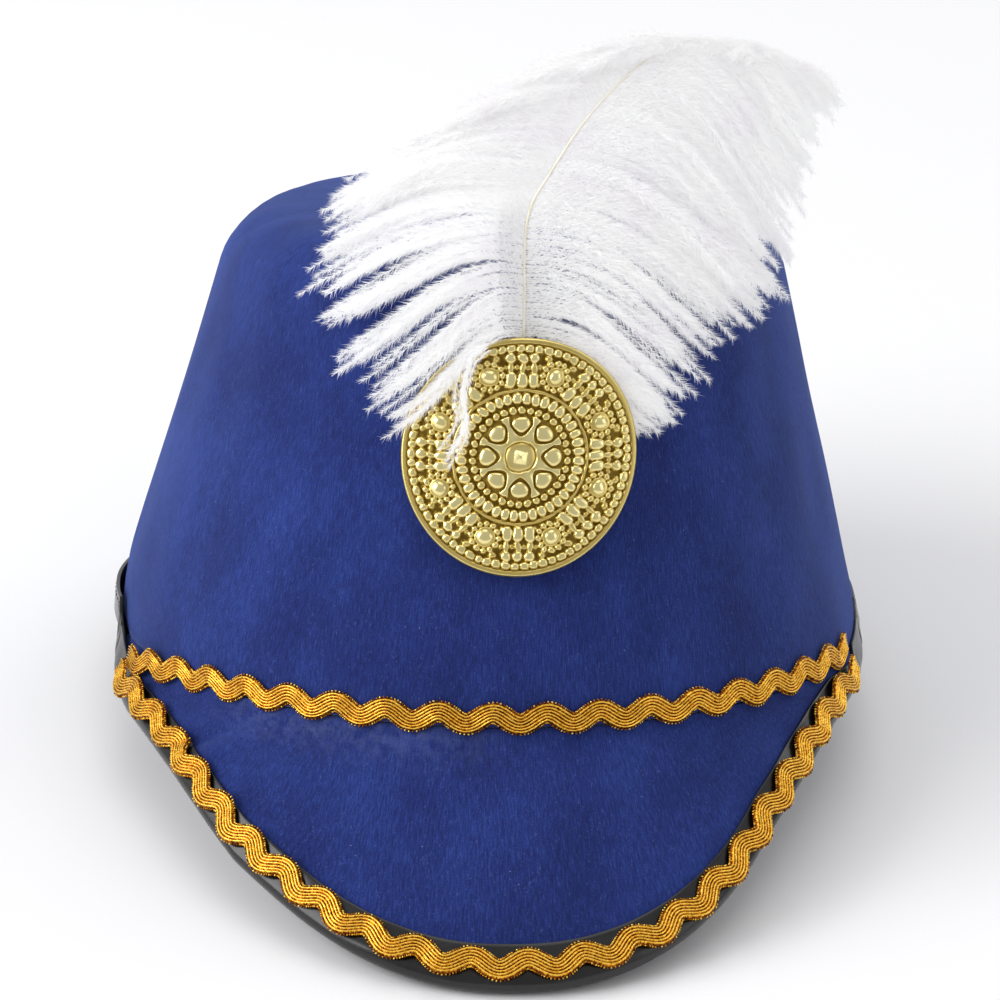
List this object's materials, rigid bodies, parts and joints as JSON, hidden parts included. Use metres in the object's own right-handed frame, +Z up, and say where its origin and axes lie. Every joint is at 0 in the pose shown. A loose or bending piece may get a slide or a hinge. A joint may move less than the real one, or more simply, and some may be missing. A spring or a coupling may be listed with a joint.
{
  "type": "marching band hat",
  "caption": "Tapered blue felt band hat with a felt peak, black patent edge binding, gold ric-rac braid, a round gilt medallion and a white ostrich plume.",
  "frame": {"origin": "centre of the bounding box on the floor, with the hat standing on its peak's front edge and the back of its rim", "axes": "+Z up, -Y towards the front where the peak points, +X to the right in a front view"},
  "size_m": [0.187, 0.238, 0.1825],
  "materials": {
    "blue_felt": "matt moulded felt with a short nap",
    "black_board": "plain black stiffening board",
    "black_patent": "glossy patent strip, stitched",
    "gold_braid": "metallic ric-rac braid with six ribs",
    "gilt_metal": "stamped relief, satin gilt",
    "pad_metal": "plain metal pad, hidden",
    "white_feather": "ostrich feather"
  },
  "bodies": {
    "root": {"crown": "blue_felt", "peak_felt": "blue_felt", "peak_board": "black_board", "peak_binding": "black_patent", "rim_binding": "black_patent", "seam_braid": "gold_braid", "peak_braid": "gold_braid", "medallion": "gilt_metal", "medallion_pad": "pad_metal", "plume": "white_feather"}
  },
  "joints": []
}
